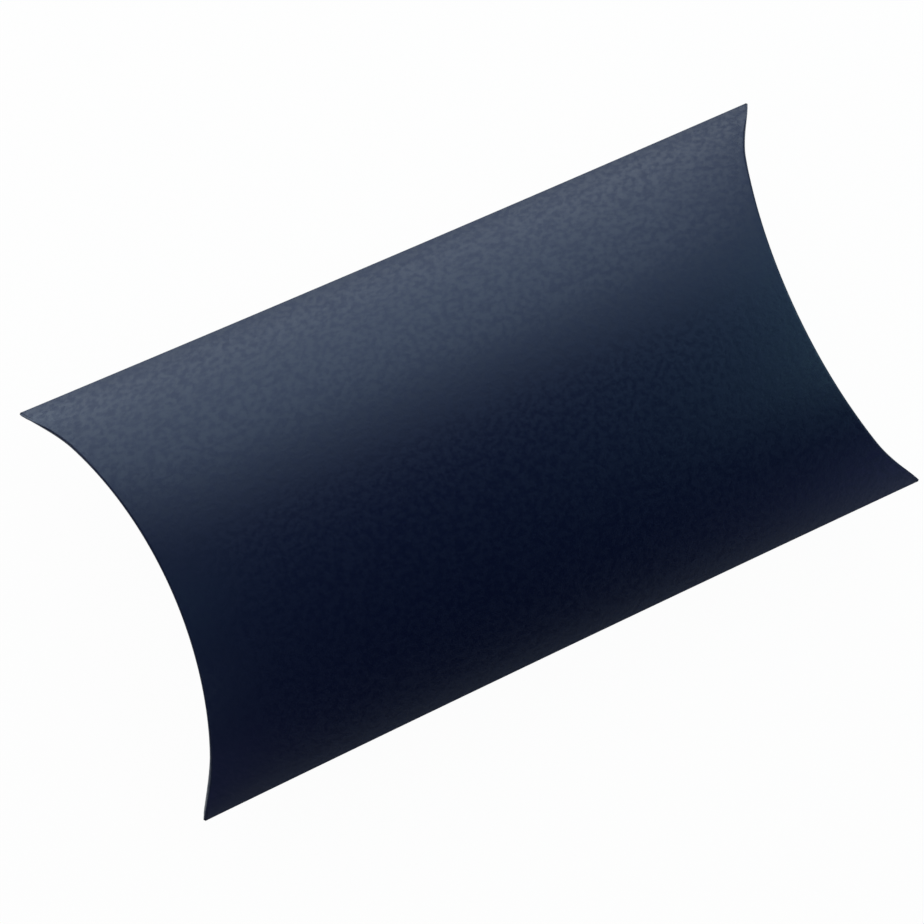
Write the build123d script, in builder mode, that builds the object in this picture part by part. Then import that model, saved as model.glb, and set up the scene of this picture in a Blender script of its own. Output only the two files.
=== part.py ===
"""Pillow box: a bowed card sleeve, closed at each end by two flaps on curved creases.

Millimetres. +X runs along the two long folds, +Y across them and +Z up. The origin is under the
middle of the box, on the surface that the crest of the lower panel rests on.
"""

import os
from math import sqrt

from build123d import *

# Overall size: along the folds, across the folds, and from crest to crest
length = 130.0
width = 70.9
depth = 25.0

# The sheet, how far a crease reaches into it on each side of its line, and how far the press
# takes down the sharp ridge of a curved crease
card = 0.4
crease_width = 0.8
crease_press = 0.12

# Glued seam inside the lower panel, along the near fold. The clearance is a hairline between
# the glue and the panel, so that their curved faces never cut into each other
seam_width = 13.0
seam_end_inset = 3.5
seam_end_taper = 10.0
seam_edge_reveal = 0.3
glue_thickness = 0.08
glue_clearance = 0.03
glue_end_margin = 1.5

# End flaps: running clearances, and how much of the end each of them covers
hinge_gap = 0.2
flap_gap = 0.3
corner_relief = 2.5
outer_reach_share = 0.85
inner_reach_share = 0.3
thumb_radius = 8.0
thumb_rounding = 1.5

# Worked out from the sizes above
DIAGONAL = sqrt(2)
UP = 1
DOWN = -1
middle = depth / 2
half_length = length / 2
half_chord = (width - card) / 2
sheet_rise = (depth - card) / 2
sheet_radius = (half_chord**2 + sheet_rise**2) / (2 * sheet_rise)
outside_radius = sheet_radius + card / 2
inside_radius = sheet_radius - card / 2
centre_drop = outside_radius - middle
corner_half = sqrt(outside_radius**2 - centre_drop**2)
flap_half = corner_half - corner_relief
corner_rise = sqrt(outside_radius**2 - flap_half**2) - centre_drop
panel_half = half_chord - crease_width
crease_setback = card + flap_gap
glue_radius = inside_radius - glue_clearance


def plan_outline(setback):
    """Seen from above, the box is a rectangle whose ends curve in as far as its panels rise."""
    with BuildSketch() as outline:
        with BuildLine():
            left = ThreePointArc(
                (setback - half_length, -corner_half),
                (setback - half_length + middle, 0),
                (setback - half_length, corner_half),
            )
            right = ThreePointArc(
                (half_length - setback, corner_half),
                (half_length - setback - middle, 0),
                (half_length - setback, -corner_half),
            )
            Line(left @ 1, right @ 0)
            Line(right @ 1, left @ 0)
        make_face()
    return outline.sketch


def bowed_band(side, y_low, y_high):
    """Cross-section of the upper or lower panel between two distances across the box."""
    with BuildSketch() as band:
        with Locations((0, middle - side * centre_drop)):
            Circle(outside_radius)
            Circle(inside_radius, mode=Mode.SUBTRACT)
        with Locations(((y_low + y_high) / 2, middle + side * middle / 2)):
            Rectangle(y_high - y_low, middle, mode=Mode.INTERSECT)
    return band.sketch


def sleeve_length(section, setback):
    """A cross-section run along the box and cut to the curved outline of its ends."""
    with BuildPart() as run:
        with BuildSketch(Plane.YZ):
            add(section)
        extrude(amount=half_length, both=True)
        with BuildSketch(Plane.XY):
            add(plan_outline(setback))
        extrude(amount=depth, mode=Mode.INTERSECT)
    return run.part


def flap_outline(side, reach_share):
    """Front view of a flap, from its crease past the middle of the box to its free edge."""
    with BuildSketch() as outline:
        with BuildLine():
            crease = ThreePointArc(
                (-flap_half, middle + side * corner_rise),
                (0, middle + side * middle),
                (flap_half, middle + side * corner_rise),
            )
            edge = ThreePointArc(
                (flap_half, middle),
                (0, middle - side * reach_share * middle),
                (-flap_half, middle),
            )
            Line(crease @ 1, edge @ 0)
            Line(edge @ 1, crease @ 0)
        make_face()
    return outline.sketch


def dished_sheet(outline, setback):
    """A whole left end flap: an upright sheet that is dished into the box, cut to its outline."""
    with BuildPart() as sheet:
        with BuildSketch(Plane.XY):
            with Locations((setback - half_length - centre_drop, 0)):
                Circle(outside_radius + card)
                Circle(outside_radius, mode=Mode.SUBTRACT)
            with Locations((-half_length / 2, 0)):
                Rectangle(half_length, 2 * flap_half, mode=Mode.INTERSECT)
        extrude(amount=depth)
        with BuildSketch(Plane.YZ.offset(-half_length)):
            add(outline)
        extrude(amount=half_length, mode=Mode.INTERSECT)
    return sheet.part


def crease_plane(side, setback):
    """The plane of a left curved crease: it leans at 45 degrees and faces away from the box."""
    return Plane(
        origin=(setback - half_length, 0, middle), x_dir=(0, -side, 0), z_dir=(-1, 0, side)
    )


def past_crease(side, setback, reach):
    """All that lies outwards of a line in the panel, a reach away from its left curved crease.

    In its own plane the crease is an arc of an ellipse. The cut is square to that plane, so it
    halves the angle between panel and flap, and a flap that swings out slides along the cut
    instead of meeting it. A negative reach is in the flap.
    """
    with BuildPart() as outer_side:
        with BuildSketch(crease_plane(side, setback)):
            with Locations((0, reach / DIAGONAL - centre_drop * DIAGONAL)):
                Ellipse(outside_radius, outside_radius * DIAGONAL)
        extrude(amount=depth, both=True)
    return outer_side.part


def panel_between_creases(sheet, side, setback):
    """A panel without the strips that belong to its two curved creases."""
    with BuildPart() as panel:
        add(sheet)
        add(past_crease(side, setback, crease_width), mode=Mode.SUBTRACT)
        mirror(past_crease(side, setback, crease_width), about=Plane.YZ, mode=Mode.SUBTRACT)
    return panel.part


def curved_crease(panel, flap, side, setback):
    """The pressed strip along a left curved crease: a leg of the panel, a ridge, a leg of the flap."""
    with BuildPart() as crease:
        add(panel)
        add(flap)
        add(past_crease(side, setback, crease_width), mode=Mode.INTERSECT)
        add(past_crease(side, setback, -crease_width), mode=Mode.SUBTRACT)
        split(bisect_by=crease_plane(side, setback).offset(-crease_press), keep=Keep.BOTTOM)
    return crease.part


def free_flap(flap, side, setback):
    """The part of a left flap that swings, clear of its crease."""
    with BuildPart() as swinging:
        add(flap)
        add(past_crease(side, setback, -crease_width - hinge_gap), mode=Mode.INTERSECT)
    return swinging.part


def seam_layer(facing_radius, thickness, end_margin):
    """A layer on the inside of the lower panel beside the near fold, with its ends cut at an angle."""
    foot = half_length - seam_end_inset - end_margin
    with BuildPart() as layer:
        with BuildSketch(Plane.YZ):
            with Locations((0, middle + centre_drop)):
                Circle(facing_radius)
                Circle(facing_radius - thickness, mode=Mode.SUBTRACT)
            with Locations((0, middle - centre_drop)):
                Circle(inside_radius, mode=Mode.INTERSECT)
            with Locations((seam_width / 2 - half_chord, middle)):
                Rectangle(seam_width, depth, mode=Mode.INTERSECT)
        extrude(amount=half_length, both=True)
        with BuildSketch(Plane.XY):
            with BuildLine():
                Polyline(
                    (-foot, -half_chord),
                    (foot, -half_chord),
                    (foot - seam_end_taper, seam_width - half_chord),
                    (seam_end_taper - foot, seam_width - half_chord),
                    close=True,
                )
            make_face()
        extrude(amount=depth, mode=Mode.INTERSECT)
    return layer.part


# The sheet as it is folded, before it is divided at its creases
top_sheet = sleeve_length(bowed_band(UP, -panel_half, panel_half), 0)
bottom_sheet = sleeve_length(
    bowed_band(DOWN, seam_edge_reveal - half_chord, panel_half), crease_setback
)
inner_sheet = dished_sheet(flap_outline(DOWN, inner_reach_share), crease_setback)

with BuildSketch() as thumb_cut_outline:
    add(flap_outline(UP, outer_reach_share))
    with Locations((0, middle - outer_reach_share * middle)):
        Circle(thumb_radius, mode=Mode.SUBTRACT)
    thumb_corners = thumb_cut_outline.vertices().sort_by_distance((0, 0))[:2]
    fillet(thumb_corners, thumb_rounding)
outer_sheet = dished_sheet(thumb_cut_outline.sketch, 0)

# Upper panel
with BuildPart() as top_panel:
    add(panel_between_creases(top_sheet, UP, 0))

# Lower panel, whose free edge stops short of the near fold, outside the seam flap
with BuildPart() as bottom_panel:
    add(panel_between_creases(bottom_sheet, DOWN, crease_setback))

# Far fold, where the sheet runs round from the upper to the lower panel
with BuildSketch() as lens:
    with BuildLine():
        over = ThreePointArc(
            (-half_chord, middle), (0, middle + sheet_rise), (half_chord, middle)
        )
        under = ThreePointArc(over @ 1, (0, middle - sheet_rise), over @ 0)
    make_face()

with BuildSketch() as fold_section:
    offset(lens.sketch, amount=card / 2)
    offset(lens.sketch, amount=-card / 2, mode=Mode.SUBTRACT)
    with Locations((panel_half + crease_width / 2 + card / 2, middle)):
        Rectangle(crease_width + card, depth, mode=Mode.INTERSECT)

with BuildPart() as fold_crease:
    add(sleeve_length(fold_section.sketch, 0))

# Near fold, where the upper panel turns in to the seam flap
with BuildSketch() as seam_section:
    add(bowed_band(UP, -half_chord, -panel_half))
    with Locations((-half_chord, middle)):
        Circle(card / 2)

with BuildPart() as seam_crease:
    add(sleeve_length(seam_section.sketch, 0))

# Glue line between the lower panel and the seam flap, kept back from the flap's ends
with BuildPart() as glue_line:
    add(seam_layer(glue_radius, glue_thickness, glue_end_margin))

# Seam flap
with BuildPart() as seam_flap:
    add(seam_layer(glue_radius - glue_thickness, card, 0))

# Left end, upper panel: the crease and flap that close last, with the thumb cut
with BuildPart() as left_outer_crease:
    add(curved_crease(top_sheet, outer_sheet, UP, 0))

with BuildPart() as left_outer_flap:
    add(free_flap(outer_sheet, UP, 0))

# Left end, lower panel: the crease and flap that close first
with BuildPart() as left_inner_crease:
    add(curved_crease(bottom_sheet, inner_sheet, DOWN, crease_setback))

with BuildPart() as left_inner_flap:
    add(free_flap(inner_sheet, DOWN, crease_setback))

# Right end: the same four pieces, mirrored
with BuildPart() as right_outer_crease:
    mirror(left_outer_crease.part, about=Plane.YZ)

with BuildPart() as right_outer_flap:
    mirror(left_outer_flap.part, about=Plane.YZ)

with BuildPart() as right_inner_crease:
    mirror(left_inner_crease.part, about=Plane.YZ)

with BuildPart() as right_inner_flap:
    mirror(left_inner_flap.part, about=Plane.YZ)

pieces = {
    "top_panel": top_panel,
    "bottom_panel": bottom_panel,
    "fold_crease": fold_crease,
    "seam_crease": seam_crease,
    "glue_line": glue_line,
    "seam_flap": seam_flap,
    "left_outer_crease": left_outer_crease,
    "left_outer_flap": left_outer_flap,
    "left_inner_crease": left_inner_crease,
    "left_inner_flap": left_inner_flap,
    "right_outer_crease": right_outer_crease,
    "right_outer_flap": right_outer_flap,
    "right_inner_crease": right_inner_crease,
    "right_inner_flap": right_inner_flap,
}

os.makedirs("parts", exist_ok=True)
for name, piece in pieces.items():
    piece.part.label = name
    export_step(piece.part, f"parts/{name}.step")
    print(name, len(piece.part.solids()), round(piece.part.volume, 2))
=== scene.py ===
"""Looks of a pillow box in dark navy pearl card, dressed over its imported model.

Metres, in the model's frame: +X runs along the two long folds, +Y across them towards the plain
fold and +Z up, and the origin is under the middle of the box. The real box is one bent sheet, so
each piece here is a strip of one surface, cut where the model divides it.
"""

from __future__ import annotations

import logging
import math
from dataclasses import dataclass, field
from enum import Enum
from typing import Callable, Union

import bpy
import numpy as np
from mathutils import Matrix, Vector


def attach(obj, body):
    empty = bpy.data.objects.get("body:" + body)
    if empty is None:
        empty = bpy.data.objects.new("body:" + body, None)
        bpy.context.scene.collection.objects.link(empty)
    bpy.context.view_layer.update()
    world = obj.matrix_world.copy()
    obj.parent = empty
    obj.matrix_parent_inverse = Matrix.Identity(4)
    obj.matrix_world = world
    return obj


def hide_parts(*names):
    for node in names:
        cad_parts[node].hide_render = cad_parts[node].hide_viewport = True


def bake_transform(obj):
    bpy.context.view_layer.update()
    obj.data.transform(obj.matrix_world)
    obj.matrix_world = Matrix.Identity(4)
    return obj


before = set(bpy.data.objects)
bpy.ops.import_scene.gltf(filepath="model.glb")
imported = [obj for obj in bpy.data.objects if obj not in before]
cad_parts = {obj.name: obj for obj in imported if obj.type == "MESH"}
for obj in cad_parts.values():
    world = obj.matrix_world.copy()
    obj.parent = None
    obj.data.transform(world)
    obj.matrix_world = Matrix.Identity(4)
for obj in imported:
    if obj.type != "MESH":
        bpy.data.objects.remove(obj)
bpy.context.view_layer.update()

logging.basicConfig(level=logging.INFO, format="%(message)s")
log = logging.getLogger("pillow_box")

Array = np.ndarray
Colour = tuple[float, float, float]

# Amounts by corner (left near, left far, right near, right far), amounts by end (left, right),
# and the two places between which something changes
Corners = tuple[float, float, float, float]
Ends = tuple[float, float]
Span = tuple[float, float]

# Scale in features per metre, detail and roughness
Noise = tuple[float, float, float]


class Layer(Enum):
    """Which panel a piece belongs to; the value is the sign of its height over mid-plane."""

    UPPER = 1
    LOWER = -1


class End(Enum):
    """Which end of the box a piece closes; the value is the sign of its place along X."""

    LEFT = -1
    RIGHT = 1


def eased(low: float, high: float, at: Array) -> Array:
    """Smooth step: 0 below low, 1 above high, and 3t^2 - 2t^3 of the share t in between.

    Args:
        low: Where the step starts.
        high: Where it ends.
        at: The places asked for.

    Returns:
        The step's height at each place.
    """
    share = np.clip((at - low) / (high - low), 0, 1)
    return share * share * (3 - 2 * share)


def by_corner(amounts: Corners, x: Array, y: Array) -> Array:
    """Picks an amount by corner of the box: left near, left far, right near or right far."""
    return np.choose(2 * (x > 0) + (y > 0), amounts)


@dataclass(frozen=True)
class Sheet:
    """The bent card: its real sizes, and the formulas of the surface that all pieces share.

    The first group is what a carton maker would specify. The ridges of the curved creases come
    next, then how the free card leans, springs, rolls, spreads and droops once it is folded, and
    last the least sizes that keep the strips of the surface from folding over.
    """

    length: float = 0.130
    width: float = 0.0709
    depth: float = 0.025
    card: float = 0.0004
    crease_width: float = 0.0008
    seam_width: float = 0.013
    seam_start: float = 0.0006
    seam_end_inset: float = 0.0035
    seam_end_taper: float = 0.010
    seam_edge_reveal: float = 0.00012
    glue_thickness: float = 0.00008
    glue_clearance: float = 0.00003
    glue_length_share: float = 0.975
    flap_gap: float = 0.0003
    outer_reach_share: float = 0.85
    inner_reach_share: float = 0.3
    thumb_radius: float = 0.008
    thumb_rounding: float = 0.0015
    corner_relief: float = 0.0011

    ridge_radius: float = 0.00045
    soft_ridge_radius: float = 0.0006
    soft_ridge_span: Span = (0.019, 0.028)
    sharp_ridge_radius: float = 0.00003
    sharp_ridge_start: float = 0.030

    tip_lean: Corners = (0.50, 0.20, 0.12, 0.45)
    lean_span: Span = (0.019, 0.033)
    lean_reach: float = 0.0018
    lean_start_share: float = 0.45
    outer_spring: float = 2.2
    inner_spring: float = -1.6
    cut_roll: float = 0.00018
    cut_roll_share: float = 0.3
    waist: float = 0.00027
    tip_spread: Corners = (0.00012, 0.00060, 0.00070, 0.00105)
    tip_spread_start: float = 0.026
    tip_spread_span: Span = (0.040, 0.060)
    droop: Ends = (0.00054, 0.00014)
    droop_reach: float = 0.018
    droop_height: float = 0.006

    blunt_tip: float = 0.0004
    least_leg: float = 0.0001
    least_drop: float = 0.00005
    hairline: float = 0.00002

    @property
    def middle(self) -> float:
        """Height of the plane through the two long folds."""
        return self.depth / 2

    @property
    def half_length(self) -> float:
        """From the middle of the box to the tips of its corners."""
        return self.length / 2

    @property
    def half_chord(self) -> float:
        """From the middle of the box to the middle of the card at a long fold."""
        return (self.width - self.card) / 2

    @property
    def panel_half(self) -> float:
        """From the middle of the box to where a panel meets the strip of a long fold."""
        return self.half_chord - self.crease_width

    @property
    def outside_radius(self) -> float:
        """Radius to which a panel's outer face is bowed: (c^2 + r^2) / 2r for chord and rise."""
        rise = (self.depth - self.card) / 2
        return (self.half_chord**2 + rise**2) / (2 * rise) + self.card / 2

    @property
    def centre_drop(self) -> float:
        """How far the axis of the bow lies beyond the mid-plane."""
        return self.outside_radius - self.middle

    @property
    def corner_half(self) -> float:
        """From the middle of the box to where the outer faces of the two panels would meet."""
        return math.sqrt(self.outside_radius**2 - self.centre_drop**2)

    @property
    def flap_half(self) -> float:
        """From the middle of the box to the corner of a flap."""
        return self.corner_half - self.corner_relief

    def rise(self, y: Array) -> Array:
        """Height of a panel's outer face over the mid-plane: sqrt(R^2 - y^2) less the drop."""
        return np.sqrt(self.outside_radius**2 - y**2) - self.centre_drop

    def slope(self, y: Array) -> Array:
        """Slope of that height across the box: -y / sqrt(R^2 - y^2)."""
        return -y / np.sqrt(self.outside_radius**2 - y**2)

    def setback(self, layer: Layer) -> float:
        """How far a layer's ends stand back, so that the inner flap fits behind the outer one."""
        return 0.0 if layer is Layer.UPPER else self.card + self.flap_gap

    def ridge(self, y: Array) -> Array:
        """Radius of the curved ridge: softer towards the corners, and sharp at the long folds.

        It goes from the plain radius to the soft one by a smooth step over the soft ridge's span,
        and from there to the sharp one by another, which ends at the panel's edge.

        Args:
            y: Place across the box.

        Returns:
            The radius at each place.
        """
        soft = self.soft_ridge_radius - self.ridge_radius
        radius = self.ridge_radius + soft * eased(*self.soft_ridge_span, np.abs(y))
        round_share = 1 - eased(self.sharp_ridge_start, self.panel_half, np.abs(y))
        return self.sharp_ridge_radius + (radius - self.sharp_ridge_radius) * round_share

    def crease_start(self, y: Array) -> Array:
        """Distance along the panel from the ridge's sharp line to where its strip starts."""
        return np.maximum(self.crease_width, self.ridge(y))

    def lean(self, y: Array, down: Array, layer: Layer, end: End) -> Array:
        """How far a flap leans out at a distance below its ridge's line.

        Card springs back where a flap is short, so it leans near the corners: below the ridge,
        the lean grows as 1 - exp(-depth / reach), times a smooth step towards the corners. The
        long middle of a flap bows by its spring times the depth squared, out on the outer flap
        and in on the inner one, so the two stand a little apart at the free edge.

        Args:
            y: Place across the box.
            down: Distance from the ridge's line towards the mid-plane.
            layer: Which panel the flap hangs from.
            end: Which end of the box it closes.

        Returns:
            The distance that the flap's point moves out along X.
        """
        below = np.maximum(down - self.lean_start_share * self.ridge(y), 0)
        share = by_corner(self.tip_lean, end.value + 0 * y, y)
        share = share * eased(*self.lean_span, np.abs(y))
        spring = self.outer_spring if layer is Layer.UPPER else self.inner_spring
        corner = share * self.lean_reach * (1 - np.exp(-below / self.lean_reach))
        return corner + spring * below**2

    def eased_out(self, points: Array) -> Array:
        """Lets the card relax: its waist is drawn in, its four tips spread and its ends droop.

        Distances across shrink by waist * (1 - (x / half length)^2) at the folds, and in
        proportion nearer the middle. The tips move out along X by a smooth step towards the
        folds times a smooth step towards the ends. The panels draw together towards their
        curved ends by droop * (1 - distance / reach)^3, and by nothing at the mid-plane.

        Args:
            points: Points of any piece of the exact form, in the model's frame.

        Returns:
            The points of the relaxed card.
        """
        x, y, z = points[..., 0], points[..., 1], points[..., 2]
        narrower = self.waist / self.half_chord * (1 - (x / self.half_length) ** 2)
        spread = eased(self.tip_spread_start, self.half_chord, np.abs(y))
        spread = spread * eased(*self.tip_spread_span, np.abs(x))
        out = np.sign(x) * by_corner(self.tip_spread, x, y)
        from_end = self.half_length - self.rise(y) - np.abs(x)
        near_end = 1 - np.clip(from_end / self.droop_reach, 0, 1)
        off = z - self.middle
        droop = np.choose(x > 0, self.droop)
        lower = droop * near_end**3 * eased(0, self.droop_height, np.abs(off))
        return np.stack([x + out * spread, y * (1 - narrower), z - np.sign(off) * lower], -1)

    def bent(self, y: Array, along: Array, down: Array, turn: Array, inset: float) -> Array:
        """Points of the left upper sheet, seen as one surface of panel, ridge and flap.

        The ridge's sharp line lies at x = -L/2 + rise(y), z = rise(y). A point stands off from it
        by (along, -down), and the surface there has turned by an angle from the panel (0) towards
        the flap (a quarter turn). The normal is then (-sin t, s (sin t - cos t), cos t), with s
        the slope of the rise, and the inner face lies one thickness back along it.

        Args:
            y: Place across the box.
            along: Distance from the ridge's line towards the middle of the box.
            down: Distance from the ridge's line towards the mid-plane.
            turn: Angle turned, in radians.
            inset: Depth below the outer face.

        Returns:
            An array of points, with the mid-plane at z = 0.
        """
        s = self.slope(y)
        normal = np.stack(
            [-np.sin(turn), s * (np.sin(turn) - np.cos(turn)), np.cos(turn) + 0 * y], axis=-1
        )
        normal /= np.linalg.norm(normal, axis=-1, keepdims=True)
        rise = self.rise(y)
        out = np.stack([rise - self.half_length + along, y + 0 * along, rise - down], axis=-1)
        return out - inset * normal


@dataclass
class Shell:
    """A closed sheet of card between an outer and an inner grid of points."""

    outer: Array
    inner: Array
    flipped: bool = False
    rolled: bool = False

    def faces(self) -> tuple[Array, Array]:
        """Quads of the two grids and of the rim between them.

        The outer grid's point (i, j) has number i * columns + j, and the inner grid follows it,
        so all quads come from shifted copies of one table of numbers.

        Returns:
            The quads, and for each whether it has the finish of the cut edge: the rim has, and
            where the edge is rolled, the outer grid's last strip has too.
        """
        rows, columns = self.outer.shape[:2]
        number = np.arange(rows * columns).reshape(rows, columns)
        front = np.stack(
            [number[:-1, :-1], number[:-1, 1:], number[1:, 1:], number[1:, :-1]], axis=-1
        ).reshape(-1, 4)
        back = front[:, ::-1] + rows * columns
        loop = np.concatenate(
            [number[0, :-1], number[:-1, -1], number[-1, :0:-1], number[:0:-1, 0]]
        )
        following = np.roll(loop, -1)
        rim = np.stack(
            [following, loop, loop + rows * columns, following + rows * columns], axis=-1
        )
        quads = np.concatenate([front, back, rim])
        if self.flipped:
            quads = quads[:, ::-1]
        cut = np.zeros(len(quads), bool)
        cut[len(front) + len(back):] = True
        if self.rolled:
            cut[columns - 2:len(front):columns - 1] = True
        return quads, cut

    def _border(self, mesh: bpy.types.Mesh, first_inner: int) -> Array:
        """Marks the edges of the rim: those whose ends both lie on the border of a grid.

        Args:
            mesh: The mesh.
            first_inner: The number of the inner grid's first point.

        Returns:
            For each edge, whether it is sharp.
        """
        rows, columns = self.outer.shape[:2]
        on_border = np.zeros((rows, columns), bool)
        on_border[[0, -1], :] = True
        on_border[:, [0, -1]] = True
        on_border = np.tile(on_border.ravel(), 2)
        ends = np.empty(len(mesh.edges) * 2, np.int32)
        mesh.edges.foreach_get("vertices", ends)
        ends = ends.reshape(-1, 2)
        same_face = (ends[:, 0] < first_inner) == (ends[:, 1] < first_inner)
        return on_border[ends].all(axis=1) & same_face

    def make(
        self, name: str, face: bpy.types.Material, rim: bpy.types.Material
    ) -> bpy.types.Object:
        """Builds the mesh, smooth on each face and sharp where a face meets the cut rim.

        Args:
            name: The piece's name.
            face: Finish of the two faces.
            rim: Finish of the cut edge.

        Returns:
            The new object, with its place in its mesh.
        """
        points = np.concatenate([self.outer.reshape(-1, 3), self.inner.reshape(-1, 3)])
        quads, cut = self.faces()
        mesh = bpy.data.meshes.new(name)
        mesh.vertices.add(len(points))
        mesh.vertices.foreach_set("co", points.astype(np.float32).ravel())
        mesh.loops.add(quads.size)
        mesh.loops.foreach_set("vertex_index", quads.astype(np.int32).ravel())
        mesh.polygons.add(len(quads))
        mesh.polygons.foreach_set("loop_start", np.arange(0, quads.size, 4, dtype=np.int32))
        mesh.materials.append(face)
        mesh.materials.append(rim)
        mesh.update(calc_edges=True)
        mesh.polygons.foreach_set("material_index", cut.astype(np.int32))
        mesh.polygons.foreach_set("use_smooth", np.ones(len(quads), bool))
        mesh.attributes.new("sharp_edge", "BOOLEAN", "EDGE").data.foreach_set(
            "value", self._border(mesh, len(self.outer.reshape(-1, 3)))
        )
        mesh.validate()
        mesh.update()
        made = bpy.data.objects.new(name, mesh)
        bpy.context.scene.collection.objects.link(made)
        return made


Value = Union[float, int, tuple, "Wire"]


class Wire:
    """A shader socket that can stand in a Python expression; each operator adds one Math node."""

    def __init__(self, bench: "Bench", socket: bpy.types.NodeSocket) -> None:
        """Keeps the socket and the bench that its nodes are made on."""
        self.bench = bench
        self.socket = socket

    def _math(self, operation: str, first: Value, second: Value) -> "Wire":
        """Adds one Math node."""
        return self.bench.add("ShaderNodeMath", {"operation": operation}, {0: first, 1: second})

    def __add__(self, other: Value) -> "Wire":
        """This plus another."""
        return self._math("ADD", self, other)

    __radd__ = __add__

    def __sub__(self, other: Value) -> "Wire":
        """This less another."""
        return self._math("SUBTRACT", self, other)

    def __rsub__(self, other: Value) -> "Wire":
        """Another less this."""
        return self._math("SUBTRACT", other, self)

    def __mul__(self, other: Value) -> "Wire":
        """This times another."""
        return self._math("MULTIPLY", self, other)

    __rmul__ = __mul__


class Bench:
    """A material's or world's node tree, and the one method that adds nodes to it."""

    def __init__(self, tree: bpy.types.NodeTree) -> None:
        """Clears the tree and starts on it."""
        self.tree = tree
        tree.nodes.clear()

    def add(
        self, kind: str, settings: dict[str, object] | None = None,
        values: dict[Union[str, int], Value] | None = None, output: Union[str, int] = 0,
    ) -> Wire:
        """Adds a node.

        Args:
            kind: The node's type.
            settings: Its properties, set first.
            values: A value or a link for each of its sockets.
            output: Which of its outputs is wanted.

        Returns:
            That output, as a wire.
        """
        node = self.tree.nodes.new(kind)
        for key, value in (settings or {}).items():
            setattr(node, key, value)
        for key, value in (values or {}).items():
            if isinstance(value, Wire):
                self.tree.links.new(value.socket, node.inputs[key])
            else:
                node.inputs[key].default_value = value
        return Wire(self, node.outputs[output] if len(node.outputs) else None)

    def noise(self, place: Wire, pattern: Noise) -> Wire:
        """Fractal noise from 0 to 1, with features about 1 / scale metres across."""
        scale, detail, roughness = pattern
        return self.add(
            "ShaderNodeTexNoise", {}, {"Vector": place, "Scale": scale, "Detail": detail,
                                       "Roughness": roughness}
        )

    def blend(self, share: Value, first: Value, second: Value) -> Wire:
        """A mix of two colours, which are sockets 6 and 7 and output 2 of a Mix node."""
        return self.add(
            "ShaderNodeMix", {"data_type": "RGBA"}, {0: share, 6: first, 7: second}, output=2
        )


def rgba(colour: Colour) -> tuple[float, float, float, float]:
    """A colour with full opacity."""
    return (*colour, 1.0)


def new_material(name: str) -> tuple[bpy.types.Material, Bench]:
    """Starts a material.

    Args:
        name: The material's name.

    Returns:
        The material, and the bench that its nodes are made on.
    """
    made = bpy.data.materials.new(name)
    made.use_nodes = True
    return made, Bench(made.node_tree)


@dataclass(frozen=True)
class PearlCard:
    """Dyed navy card with a pearl coat: fine mica grain, a cloudy tone and a soft broad gloss.

    The grain is noise stretched from its span to 0 to 1. The tone's shares are those of cloud,
    grain and flake.
    """

    name: str = "pearl_card"
    deep: Colour = (0.0034, 0.0057, 0.0262)
    pale: Colour = (0.0042, 0.0070, 0.0322)
    sheen: Colour = (0.556, 0.771, 1.0)
    specular: float = 0.44
    roughness: float = 0.40
    flake_roughness: float = 0.04
    grain_roughness: float = 0.12
    metal: float = 0.12
    cloud: Noise = (45.0, 3.0, 0.5)
    grain: Noise = (1080.0, 1.0, 0.5)
    grain_span: Span = (0.3, 0.7)
    grain_height: float = 0.000018
    grain_height_share: float = 0.9
    flake_scale: float = 5200.0
    tone_shares: tuple[float, float, float] = (0.25, 0.6, 0.15)
    bump_strength: float = 0.5

    def make(self) -> bpy.types.Material:
        """Builds the material.

        The tone wanders between the two colours with a wide cloud and a fine grain. Flakes of
        mica are small cells, each a little smoother or rougher than the next. The grain stands up
        from the face by less than two hundredths of a millimetre, and it is a little metallic,
        which tells in the gloss and evens out its paler tone where no gloss falls.

        Returns:
            The material.
        """
        made, bench = new_material(self.name)
        place = bench.add("ShaderNodeTexCoord", output="Object")
        cloud = bench.noise(place, self.cloud)
        grain = bench.add(
            "ShaderNodeMapRange", {"interpolation_type": "SMOOTHSTEP"},
            {"Value": bench.noise(place, self.grain), "From Min": self.grain_span[0],
             "From Max": self.grain_span[1]},
        )
        flakes = bench.add(
            "ShaderNodeTexVoronoi", {"feature": "F1"},
            {"Vector": place, "Scale": self.flake_scale}, output="Color",
        )
        flake = bench.add("ShaderNodeSeparateColor", {}, {"Color": flakes})
        by_cloud, by_grain, by_flake = self.tone_shares
        tone = cloud * by_cloud + grain * by_grain + flake * by_flake
        colour = bench.blend(tone, rgba(self.deep), rgba(self.pale))
        smoothest = self.roughness - (self.flake_roughness + self.grain_roughness) / 2
        roughness = flake * self.flake_roughness + grain * self.grain_roughness + smoothest
        standing = grain * self.grain_height_share + flake * (1 - self.grain_height_share)
        bump = bench.add(
            "ShaderNodeBump", {}, {"Strength": self.bump_strength,
                                   "Distance": self.grain_height, "Height": standing}
        )
        shader = bench.add(
            "ShaderNodeBsdfPrincipled", {}, {
                "Base Color": colour, "Roughness": roughness, "Normal": bump,
                "Metallic": grain * self.metal,
                "Specular IOR Level": self.specular, "Specular Tint": rgba(self.sheen),
            },
        )
        bench.add("ShaderNodeOutputMaterial", {}, {"Surface": shader})
        return made


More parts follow.
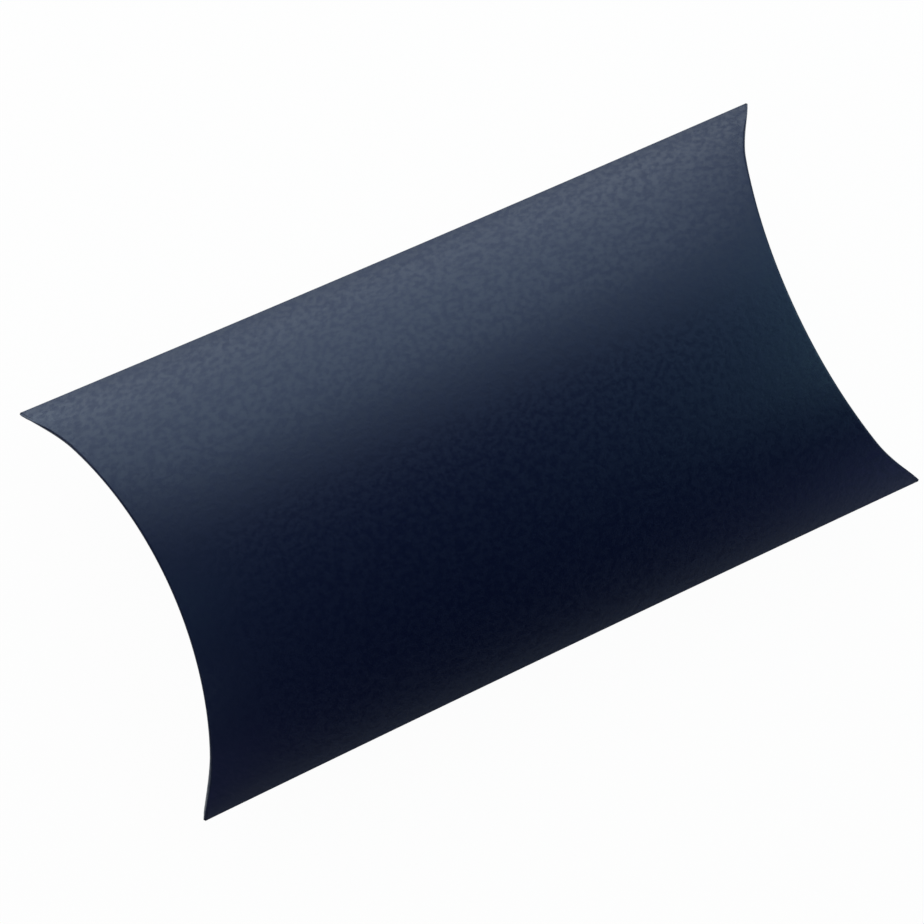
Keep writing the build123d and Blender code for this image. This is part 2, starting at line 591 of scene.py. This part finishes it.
@dataclass(frozen=True)
class CardCore:
    """The cut edge of the card, where its dyed fibres show: matt, and a little paler."""

    name: str = "card_core"
    dark: Colour = (0.018, 0.024, 0.046)
    pale: Colour = (0.044, 0.055, 0.085)
    roughness: float = 0.75
    specular: float = 0.3
    fibres: Noise = (3800.0, 3.0, 0.7)
    fibre_height: float = 0.00003
    fibre_roughness: float = 0.15
    bump_strength: float = 0.6

    def make(self) -> bpy.types.Material:
        """Builds the material: fibres are fine noise, which sets tone, bump and roughness.

        Returns:
            The material.
        """
        made, bench = new_material(self.name)
        place = bench.add("ShaderNodeTexCoord", output="Object")
        fibres = bench.noise(place, self.fibres)
        colour = bench.blend(fibres, rgba(self.dark), rgba(self.pale))
        bump = bench.add(
            "ShaderNodeBump", {}, {"Strength": self.bump_strength,
                                   "Distance": self.fibre_height, "Height": fibres}
        )
        shader = bench.add("ShaderNodeBsdfPrincipled", {}, {
            "Base Color": colour, "Roughness": fibres * self.fibre_roughness + self.roughness,
            "Normal": bump, "Specular IOR Level": self.specular,
        })
        bench.add("ShaderNodeOutputMaterial", {}, {"Surface": shader})
        return made


@dataclass(frozen=True)
class DriedGlue:
    """White carton glue, dried to a cloudy film."""

    name: str = "dried_glue"
    clear: Colour = (0.62, 0.58, 0.48)
    cloudy: Colour = (0.80, 0.78, 0.70)
    roughness: float = 0.3
    streaks: Noise = (260.0, 4.0, 0.6)
    streak_roughness: float = 0.25

    def make(self) -> bpy.types.Material:
        """Builds the material: streaks of noise between a clearer and a cloudier tone.

        Returns:
            The material.
        """
        made, bench = new_material(self.name)
        place = bench.add("ShaderNodeTexCoord", output="Object")
        streaks = bench.noise(place, self.streaks)
        shader = bench.add("ShaderNodeBsdfPrincipled", {}, {
            "Base Color": bench.blend(streaks, rgba(self.clear), rgba(self.cloudy)),
            "Roughness": streaks * self.streak_roughness + self.roughness,
        })
        bench.add("ShaderNodeOutputMaterial", {}, {"Surface": shader})
        return made


@dataclass(frozen=True)
class Finishes:
    """The finishes of the whole box, made once."""

    face: bpy.types.Material = field(default_factory=lambda: PearlCard().make())
    edge: bpy.types.Material = field(default_factory=lambda: CardCore().make())
    glue: bpy.types.Material = field(default_factory=lambda: DriedGlue().make())


CARD_SLOT = "navy_card"
JUST_BEYOND = 1e-6


def placed(points: Array, layer: Layer, end: End, sheet: Sheet) -> Array:
    """Mirrors points of the left upper sheet to their own layer and end, and lifts them."""
    points = points * np.array([-end.value, 1, layer.value]) + np.array([0, 0, sheet.middle])
    return sheet.eased_out(points)


@dataclass
class Sleeve:
    """The two bowed panels, the two long folds and the glued seam between them.

    The counts are those of the grids' points, and of the steps round a fold's section.
    """

    sheet: Sheet
    finishes: Finishes
    across: int = 281
    along: int = 161
    seam_across: int = 61
    fold_steps: int = 9
    bend_steps: int = 13

    def panel(self, layer: Layer, name: str, node: str) -> bpy.types.Object:
        """One bowed panel between its curved creases.

        Across, its points are spread evenly from edge to edge. Along, they are spread evenly to
        each side over half the length, less the setback, the rise and the crease's own strip.

        Args:
            layer: Which panel.
            name: The piece's name.
            node: The model's node that it stands for.

        Returns:
            The panel.
        """
        sheet = self.sheet
        near = -sheet.panel_half
        if layer is Layer.LOWER:
            near = sheet.seam_edge_reveal - sheet.half_chord
        y = np.linspace(near, sheet.panel_half, self.across)[:, None]
        reach = sheet.half_length - sheet.setback(layer) - sheet.rise(y) - sheet.crease_start(y)
        x = np.linspace(-1, 1, self.along)[None, :] * reach
        along = x + sheet.half_length - sheet.rise(y)
        faces = [
            sheet.bent(y + 0 * along, along, 0 * along, 0 * along, inset)
            for inset in (0.0, sheet.card)
        ]
        outer, inner = (placed(points, layer, End.LEFT, sheet) for points in faces)
        flipped = layer is Layer.UPPER
        made = Shell(outer, inner, flipped).make(name, self.finishes.face, self.finishes.edge)
        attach(made, "sleeve")
        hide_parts(node)
        return made

    def far_fold(self) -> bpy.types.Object:
        """The plain fold: the sheet rounds it and runs back as the lower panel.

        Its section goes along the upper face, round a small arc about the middle of the card and
        back along the lower face; the inner face keeps to the card's thickness until the two
        meet in a sharp inner corner.

        Returns:
            The fold.
        """
        sheet = self.sheet
        upper_out, inside, arc = self._fold_leg()
        turn = np.linspace(arc, math.pi - arc, self.bend_steps)[1:-1]
        bend = self._round_fold(turn)
        outer = np.concatenate([upper_out, bend, upper_out[::-1] * np.array([1, -1])])
        corner = sheet.half_chord - sheet.card / 2 / math.sin(arc)
        inside[:, 0] = np.minimum(inside[:, 0], corner)
        inside[:, 1] = np.maximum(inside[:, 1], 0)
        bend_in = np.tile([corner, 0.0], (len(turn), 1))
        inner = np.concatenate([inside, bend_in, inside[::-1] * np.array([1, -1])])
        return self._run(outer, inner, "far_fold", "fold_crease", False)

    def _fold_leg(self) -> tuple[Array, Array, float]:
        """The end of a panel's section, from its own strip's edge to the middle of a fold.

        Returns:
            Outer and inner points (y, z) on circles about the bow's axis, and the card's tilt at
            the fold.
        """
        sheet = self.sheet
        arc = math.asin(sheet.half_chord / (sheet.outside_radius - sheet.card / 2))
        start = math.asin(sheet.panel_half / sheet.outside_radius)
        tilt = np.linspace(start, arc, self.fold_steps)
        round_bow = np.stack([np.sin(tilt), np.cos(tilt)], -1)
        drop = np.array([0, sheet.centre_drop])
        outer, inner = (
            radius * round_bow - drop
            for radius in (sheet.outside_radius, sheet.outside_radius - sheet.card)
        )
        return outer, inner, arc

    def _round_fold(self, turn: Array) -> Array:
        """Points at half the card's thickness round the middle of a fold."""
        sheet = self.sheet
        return np.stack([sheet.half_chord + sheet.card / 2 * np.sin(turn),
                         sheet.card / 2 * np.cos(turn)], -1)

    def near_fold(self) -> bpy.types.Object:
        """The seam fold: the upper sheet rounds over the edge of the lower panel.

        Its section ends in a half circle about the middle of the card. The outer face takes one
        quarter of it and the inner face the other, so that they meet at the very edge.

        Returns:
            The fold.
        """
        out, inside, arc = self._fold_leg()
        quarter = math.pi / 2
        bend, back = (
            self._round_fold(np.linspace(start, arc + quarter, self.fold_steps)[1:])
            for start in (arc, arc + math.pi)
        )
        outer = np.concatenate([out, bend]) * np.array([-1, 1])
        inner = np.concatenate([inside, back]) * np.array([-1, 1])
        return self._run(outer, inner, "near_fold", "seam_crease", True)

    def _run(
        self, outer: Array, inner: Array, name: str, node: str, near: bool
    ) -> bpy.types.Object:
        """Runs a fold's section along the box, with its ends cut to the line of the creases.

        A point of the section runs out to half the length less the rise there, or less the blunt
        tip where the rise is smaller, and less a hairline.

        Args:
            outer: Outer points of the section, (y, z) from the mid-plane.
            inner: Inner points of the section.
            name: The piece's name.
            node: The model's node that it stands for.
            near: Whether it is the near fold.

        Returns:
            The fold.
        """
        sheet = self.sheet
        grids = []
        for section in (outer, inner):
            height = sheet.rise(np.minimum(np.abs(section[:, :1]), sheet.corner_half))
            tip = np.maximum(height, sheet.blunt_tip) + sheet.hairline
            reach = sheet.half_length - tip
            x = np.linspace(-1, 1, self.along)[None, :] * reach
            y = section[:, :1] + 0 * x
            z = section[:, 1:] + 0 * x + sheet.middle
            grids.append(sheet.eased_out(np.stack([x, y, z], -1)))
        made = Shell(grids[0], grids[1], not near).make(
            name, self.finishes.face, self.finishes.edge
        )
        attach(made, "sleeve")
        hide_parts(node)
        return made

    def seam(self) -> list[bpy.types.Object]:
        """The seam flap inside the lower panel, and the glue that holds it.

        Both are bands on the inside of the lower panel. They run out to half the length, less the
        inset of the seam's ends, and less their taper in proportion to the distance from the
        fold. The glue takes a share of that length.

        Returns:
            The seam flap and the glue.
        """
        sheet = self.sheet
        near = -sheet.half_chord + sheet.seam_start
        y = np.linspace(near, sheet.seam_width - sheet.half_chord, self.seam_across)[:, None]
        share = (y - near) / sheet.seam_width
        reach = sheet.half_length - sheet.seam_end_inset - share * sheet.seam_end_taper
        x = np.linspace(-1, 1, self.along)[None, :] * reach
        under = sheet.card + sheet.glue_clearance
        layers = (
            ("seam_flap_card", "seam_flap", under + sheet.glue_thickness, sheet.card,
             self.finishes.face, self.finishes.edge, CARD_SLOT, 1.0),
            ("glue_film", "glue_line", under, sheet.glue_thickness,
             self.finishes.glue, self.finishes.glue, "glue", sheet.glue_length_share),
        )
        made_all = []
        for name, node, depth, thick, face, rim, slot, share_along in layers:
            along = x * share_along + sheet.half_length - sheet.rise(y)
            faces = [
                placed(sheet.bent(y + 0 * along, along, 0 * along, 0 * along, inset),
                       Layer.LOWER, End.LEFT, sheet)
                for inset in (depth, depth + thick)
            ]
            made = Shell(faces[0], faces[1], False).make(name, face, rim)
            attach(made, "sleeve")
            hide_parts(node)
            made_all.append(made)
        return made_all

    def build(self) -> list[bpy.types.Object]:
        """Builds every piece of the sleeve."""
        return [
            self.panel(Layer.UPPER, "upper_panel", "top_panel"),
            self.panel(Layer.LOWER, "lower_panel", "bottom_panel"),
            self.far_fold(),
            self.near_fold(),
            *self.seam(),
        ]


@dataclass
class Closure:
    """One flap and the curved crease that it hangs from.

    The bend is a distance from the crest towards the flap; _hang works out points from it that
    nothing uses. The counts are those of the grids' points and steps.
    """

    sheet: Sheet
    finishes: Finishes
    layer: Layer
    end: End
    bend: float = 0.0075
    across: int = 321
    corner_steps: int = 9
    leg_steps: int = 4
    ridge_steps: int = 13
    foot_steps: int = 5
    edge_points: int = 150
    cut_points: int = 60
    rounding_points: int = 20
    arc_points: int = 140
    drop_steps: int = 61

    @property
    def stem(self) -> str:
        """The start of this closure's node names."""
        return f"{self.end.name.lower()}_{'outer' if self.layer is Layer.UPPER else 'inner'}"

    @property
    def flipped(self) -> bool:
        """Whether mirroring to this layer and end turned the faces round."""
        return self.layer.value * self.end.value > 0

    def _grids(self, y: Array, along: Array, down: Array, turn: Array) -> list[Array]:
        """Outer and inner grids of this closure from the shared surface, with the flap's lean.

        Args:
            y: Place across the box.
            along: Distance from the ridge's line towards the middle of the box.
            down: Distance from the ridge's line towards the mid-plane.
            turn: Angle turned, in radians.

        Returns:
            The outer and the inner grid.
        """
        sheet = self.sheet
        along = along + sheet.setback(self.layer)
        lean = np.array([1, 0, 0]) * sheet.lean(y, down, self.layer, self.end)[..., None]
        return [
            placed(sheet.bent(y + 0 * along, along, down, turn, inset) - lean,
                   self.layer, self.end, sheet)
            for inset in (0.0, sheet.card)
        ]

    def crease(self) -> bpy.types.Object:
        """The curved crease: a leg of the panel, a rounded ridge and a leg of the flap.

        Down a column the surface runs straight to the ridge's arc, turns a quarter round a circle
        of the ridge's radius, and runs down the flap to the crease's width. Beyond the panel,
        only the leg of the flap runs on, under the end of the long fold.

        Returns:
            The crease.
        """
        sheet = self.sheet
        reach = sheet.corner_half - sheet.blunt_tip
        corner = np.linspace(sheet.panel_half + JUST_BEYOND, reach, self.corner_steps)
        middle = np.linspace(-sheet.panel_half, sheet.panel_half, self.across)
        y = np.concatenate([-corner[::-1], middle, corner])[:, None]
        radius = sheet.ridge(y)
        start = np.where(np.abs(y) > sheet.panel_half, radius, sheet.crease_start(y))
        leg = np.linspace(0, 1, self.leg_steps)[None, :-1]
        round_ridge = np.linspace(0, math.pi / 2, self.ridge_steps)[None, :]
        foot = np.linspace(0, 1, self.foot_steps)[None, 1:]
        depth = self._leg_depth(y)
        still_leg, still_foot = 0 * y + 0 * leg, 0 * y + 0 * foot
        along = np.concatenate(
            [start + (radius - start) * leg, radius * (1 - np.sin(round_ridge)), still_foot], 1
        )
        down = np.concatenate(
            [still_leg, radius * (1 - np.cos(round_ridge)), radius + (depth - radius) * foot], 1
        )
        turn = np.concatenate([still_leg, 0 * y + round_ridge, still_foot + math.pi / 2], 1)
        outer, inner = self._grids(y, along, down, turn)
        made = Shell(outer, inner, self.flipped).make(
            f"{self.stem}_ridge", self.finishes.face, self.finishes.edge
        )
        return self._hang(made, f"{self.stem}_crease")

    def _leg_depth(self, y: Array) -> Array:
        """How far down a crease's own leg goes: its width, or less where the flap ends.

        It goes a least leg beyond the ridge where that is deeper than the crease's width, and
        stops a least drop over the mid-plane, but never within a hairline of the ridge.

        Args:
            y: Place across the box.

        Returns:
            The depth at each place.
        """
        sheet = self.sheet
        ridge = sheet.ridge(y)
        deep = np.maximum(sheet.crease_width, ridge + sheet.least_leg)
        return np.minimum(
            deep, np.maximum(sheet.rise(y) - sheet.least_drop, ridge + sheet.hairline)
        )

    def _free_edge(self) -> tuple[Array, Array]:
        """The flap's free edge seen from the end: distance across, and height over mid-plane.

        The edge is an arc from corner to corner. On the outer flap a thumb cut, a half circle
        about the arc's lowest point, is joined to it by two small rounding arcs, whose centres
        lie at thumb radius + rounding from the cut's centre and at edge radius - rounding from
        the arc's. Points are spread evenly by length.

        Returns:
            The places across, rising, and the heights at them.
        """
        sheet = self.sheet
        outer = self.layer is Layer.UPPER
        half = sheet.flap_half
        sag = sheet.middle * (sheet.outer_reach_share if outer else sheet.inner_reach_share)
        radius = (half**2 + sag**2) / (2 * sag)
        centre = radius - sag
        inner_start = 0.0
        if outer:
            reach = sheet.thumb_radius + sheet.thumb_rounding
            corner = radius - sheet.thumb_rounding
            offset = (reach**2 - corner**2 + radius**2) / (2 * radius)
            aside = math.sqrt(reach**2 - offset**2)
            hub = np.array([aside, offset - sag])
            on_cut = np.array([0, -sag]) + (hub - [0, -sag]) * sheet.thumb_radius / reach
            on_edge = np.array([0, centre]) + (hub - [0, centre]) * radius / corner
            cut_angle = math.atan2(on_cut[1] + sag, on_cut[0])
            cut_turn = np.linspace(math.pi / 2, cut_angle, self.cut_points)
            cut = np.stack([np.cos(cut_turn), np.sin(cut_turn)], -1) * sheet.thumb_radius
            cut += [0, -sag]
            start = math.atan2(*(on_cut - hub)[::-1]) % (2 * math.pi)
            stop = math.atan2(*(on_edge - hub)[::-1]) % (2 * math.pi)
            round_turn = np.linspace(start, stop, self.rounding_points)[1:]
            rounding = np.stack([np.cos(round_turn), np.sin(round_turn)], -1)
            rounding = rounding * sheet.thumb_rounding + hub
            inner_start = on_edge[0]
        across = np.linspace(inner_start, half, self.arc_points)
        edge = np.stack([across, centre - np.sqrt(radius**2 - across**2)], -1)
        if outer:
            edge = np.concatenate([cut, rounding, edge[1:]])
        steps = np.concatenate([[0], np.cumsum(np.linalg.norm(np.diff(edge, axis=0), axis=1))])
        even = np.linspace(0, steps[-1], self.edge_points)
        right = np.stack([np.interp(even, steps, edge[:, k]) for k in (0, 1)], -1)
        left = right[:0:-1] * np.array([-1, 1])
        whole = np.concatenate([left, right])
        return whole[:, 0], whole[:, 1]

    def flap(self) -> bpy.types.Object:
        """The flap: upright lines from the crease's leg down to the free edge, whose cut rolls.

        A line has even steps down to the roll, and one more for the roll, which is as deep as
        the card's own or a share of the line where the line is short.

        Returns:
            The flap.
        """
        sheet = self.sheet
        across, height = self._free_edge()
        y = across[:, None]
        start = self._leg_depth(y)
        stop = np.maximum(sheet.rise(y) - height[:, None], start + sheet.least_drop)
        roll = stop - np.minimum(sheet.cut_roll, sheet.cut_roll_share * (stop - start))
        steps = np.linspace(0, 1, self.drop_steps)[None, :]
        down = np.concatenate([start + (roll - start) * steps, stop], 1)
        outer, inner = self._grids(y, 0 * down, down, 0 * down + math.pi / 2)
        made = Shell(outer, inner, self.flipped, True).make(
            f"{self.stem}_card", self.finishes.face, self.finishes.edge
        )
        return self._hang(made, f"{self.stem}_flap")

    def _hang(self, made: bpy.types.Object, node: str) -> bpy.types.Object:
        """Bakes a piece's place into its mesh and hides the model's node that it stands for.

        Args:
            made: The piece.
            node: The model's node that it stands for.

        Returns:
            The same piece.
        """
        sheet = self.sheet
        crest = np.array([sheet.middle - sheet.half_length + sheet.setback(self.layer), 0,
                          sheet.middle])
        away = np.array([1.0, 0.0, -1.0]) / math.sqrt(2)
        start, stop = (
            placed(crest + away * share, self.layer, self.end, sheet)
            for share in (0.0, self.bend)
        )
        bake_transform(made)
        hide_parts(node)
        return made

    def build(self) -> list[bpy.types.Object]:
        """Builds the crease and the flap."""
        return [self.crease(), self.flap()]


@dataclass(frozen=True)
class Softbox:
    """A flat oblong lamp with an even face, aimed at the middle of the box."""

    name: str
    heading: float
    height: float
    size: tuple[float, float]
    radiance: float
    colour: Colour = (1.0, 1.0, 1.0)
    distance: float = 0.6
    aim_height: float = 0.012

    def build(self) -> None:
        """Makes the lamp, turned from the far side by its heading and raised by its height.

        Both are angles in degrees, seen from the middle of the box. The lamp's power is its
        radiance times its area times pi.
        """
        turn, lift = math.radians(self.heading), math.radians(self.height)
        outward = Vector((math.sin(turn) * math.cos(lift), math.cos(turn) * math.cos(lift),
                          math.sin(lift)))
        lamp = bpy.data.lights.new(self.name, "AREA")
        lamp.shape = "RECTANGLE"
        lamp.size, lamp.size_y = self.size
        lamp.energy = self.radiance * self.size[0] * self.size[1] * math.pi
        lamp.color = self.colour
        stand = bpy.data.objects.new(self.name, lamp)
        stand.location = Vector((0, 0, self.aim_height)) + outward * self.distance
        stand.rotation_mode = "QUATERNION"
        stand.rotation_quaternion = (-outward).to_track_quat("-Z", "Y")
        bpy.context.scene.collection.objects.link(stand)


@dataclass(frozen=True)
class Viewpoint:
    """The photograph's camera: almost straight above the box, close to it and rolled."""

    azimuth: float = -1.4016
    elevation: float = 1.4753
    roll: float = 0.9766
    aim: tuple[float, float, float] = (-0.00428, -0.00053, 0.0125)
    distance: float = 0.16102
    focal_pixels: float = 982.3
    frame_pixels: float = 924.0
    sensor: float = 36.0
    clip: Span = (0.005, 20.0)

    def build(self) -> None:
        """Makes the camera from its backward, right and upward directions."""
        a, e, r = self.azimuth, self.elevation, self.roll
        back = Vector((math.sin(a) * math.cos(e), -math.cos(a) * math.cos(e), math.sin(e)))
        level = Vector((math.cos(a), math.sin(a), 0))
        upright = back.cross(level)
        right = level * math.cos(r) + upright * math.sin(r)
        up = upright * math.cos(r) - level * math.sin(r)
        eye = Vector(self.aim) + back * self.distance
        lens = bpy.data.cameras.new("camera")
        lens.sensor_width = self.sensor
        lens.lens = self.focal_pixels * self.sensor / self.frame_pixels
        lens.clip_start, lens.clip_end = self.clip
        camera = bpy.data.objects.new("camera", lens)
        camera.matrix_world = Matrix(
            [[*row, place] for row, place in zip(zip(right, up, back), eye)] + [[0, 0, 0, 1]]
        )
        bpy.context.scene.collection.objects.link(camera)
        bpy.context.scene.camera = camera


@dataclass(frozen=True)
class Studio:
    """A white floor, a dim sky, soft screens round the box, and the camera.

    The strongest screens stand low on the far side. The shade is how much of the floor's own
    paint, with the box's shadow, shows through its white, and mirrored is the share of that
    white in reflections. The sky is dark overhead and has its horizon strength at the floor.
    """

    shade: float = 0.03
    mirrored: float = 0.4
    horizon: float = 0.02
    falloff: float = 3.0
    paint: float = 0.82
    floor_size: float = 6.0
    lamps: tuple[Softbox, ...] = (
        Softbox("far_screen_foot", 0, 8, (0.8, 0.14), 3.5),
        Softbox("far_screen_low", 0, 22, (0.8, 0.20), 2.3),
        Softbox("far_screen_high", 0, 40, (0.8, 0.24), 2.4),
        Softbox("far_screen_top", 0, 60, (0.8, 0.28), 0.85),
        Softbox("right_screen", 92, 40, (0.6, 0.28), 2.75, (0.67, 1.0, 1.0)),
        Softbox("near_right_screen", 142, 10, (0.20, 0.20), 0.9, (0.45, 0.47, 1.0)),
        Softbox("near_left_screen", -150, 14, (0.20, 0.26), 0.6, (0.6, 0.5, 1.0)),
        Softbox("left_strip", -35, 5, (0.30, 0.12), 3.0),
        Softbox("left_high_screen", -97, 60, (0.24, 0.20), 0.7, (0.72, 0.95, 1.0)),
        Softbox("left_near_screen", -130, 40, (0.28, 0.24), 0.68, (0.8, 0.85, 1.0)),
    )

    def floor(self) -> None:
        """A wide floor that looks white and keeps a soft shadow of the box."""
        half = self.floor_size / 2
        mesh = bpy.data.meshes.new("floor")
        corners = [(-half, -half, 0), (half, -half, 0), (half, half, 0), (-half, half, 0)]
        mesh.from_pydata(corners, [], [(0, 1, 2, 3)])
        made, bench = new_material("white_floor")
        path = [bench.add("ShaderNodeLightPath", output=name)
                for name in ("Is Camera Ray", "Is Transmission Ray", "Is Glossy Ray")]
        seen = path[0] + path[1] + path[2] * self.mirrored
        paint = bench.add("ShaderNodeBsdfDiffuse", {}, {"Color": rgba((self.paint,) * 3)})
        glow = bench.add("ShaderNodeEmission", {}, {"Color": (1, 1, 1, 1), "Strength": 1.0})
        shader = bench.add(
            "ShaderNodeMixShader", {}, {0: seen * (1 - self.shade), 1: paint, 2: glow}
        )
        bench.add("ShaderNodeOutputMaterial", {}, {"Surface": shader})
        mesh.materials.append(made)
        floor = bpy.data.objects.new("floor", mesh)
        bpy.context.scene.collection.objects.link(floor)

    def sky(self) -> None:
        """Dim light that grows towards the horizon, and plain white to the camera.

        Its strength is the horizon's times (1 - height)^falloff, where height is the upward part
        of the direction.
        """
        world = bpy.data.worlds.new("surround")
        bpy.context.scene.world = world
        world.use_nodes = True
        bench = Bench(world.node_tree)
        camera = bench.add("ShaderNodeLightPath", output="Is Camera Ray")
        place = bench.add("ShaderNodeTexCoord", output="Generated")
        height = bench.add("ShaderNodeSeparateXYZ", {}, {"Vector": place}, output="Z")
        low = bench.add(
            "ShaderNodeMath", {"operation": "POWER", "use_clamp": True},
            {0: 1 - height, 1: self.falloff},
        )
        strength = camera + (1 - camera) * (low * self.horizon)
        light = bench.add("ShaderNodeBackground", {}, {"Color": (1, 1, 1, 1), "Strength": strength})
        bench.add("ShaderNodeOutputWorld", {}, {"Surface": light})

    def build(self) -> None:
        """Builds the floor, the sky, the lamps and the camera."""
        self.floor()
        self.sky()
        for lamp in self.lamps:
            lamp.build()
        Viewpoint().build()
        bpy.context.scene.view_settings.view_transform = "Standard"


def main() -> None:
    """Builds the box, then the studio round it."""
    sheet = Sheet()
    finishes = Finishes()
    builders: list[tuple[str, Callable[[], list[bpy.types.Object]]]] = [
        ("sleeve", Sleeve(sheet, finishes).build)
    ]
    for end in End:
        for layer in Layer:
            closure = Closure(sheet, finishes, layer, end)
            builders.append((closure.stem, closure.build))
    for title, build in builders:
        for piece in build():
            log.info("%s: %s, %d faces", title, piece.name, len(piece.data.polygons))
    Studio().build()


if __name__ == "__main__":
    main()
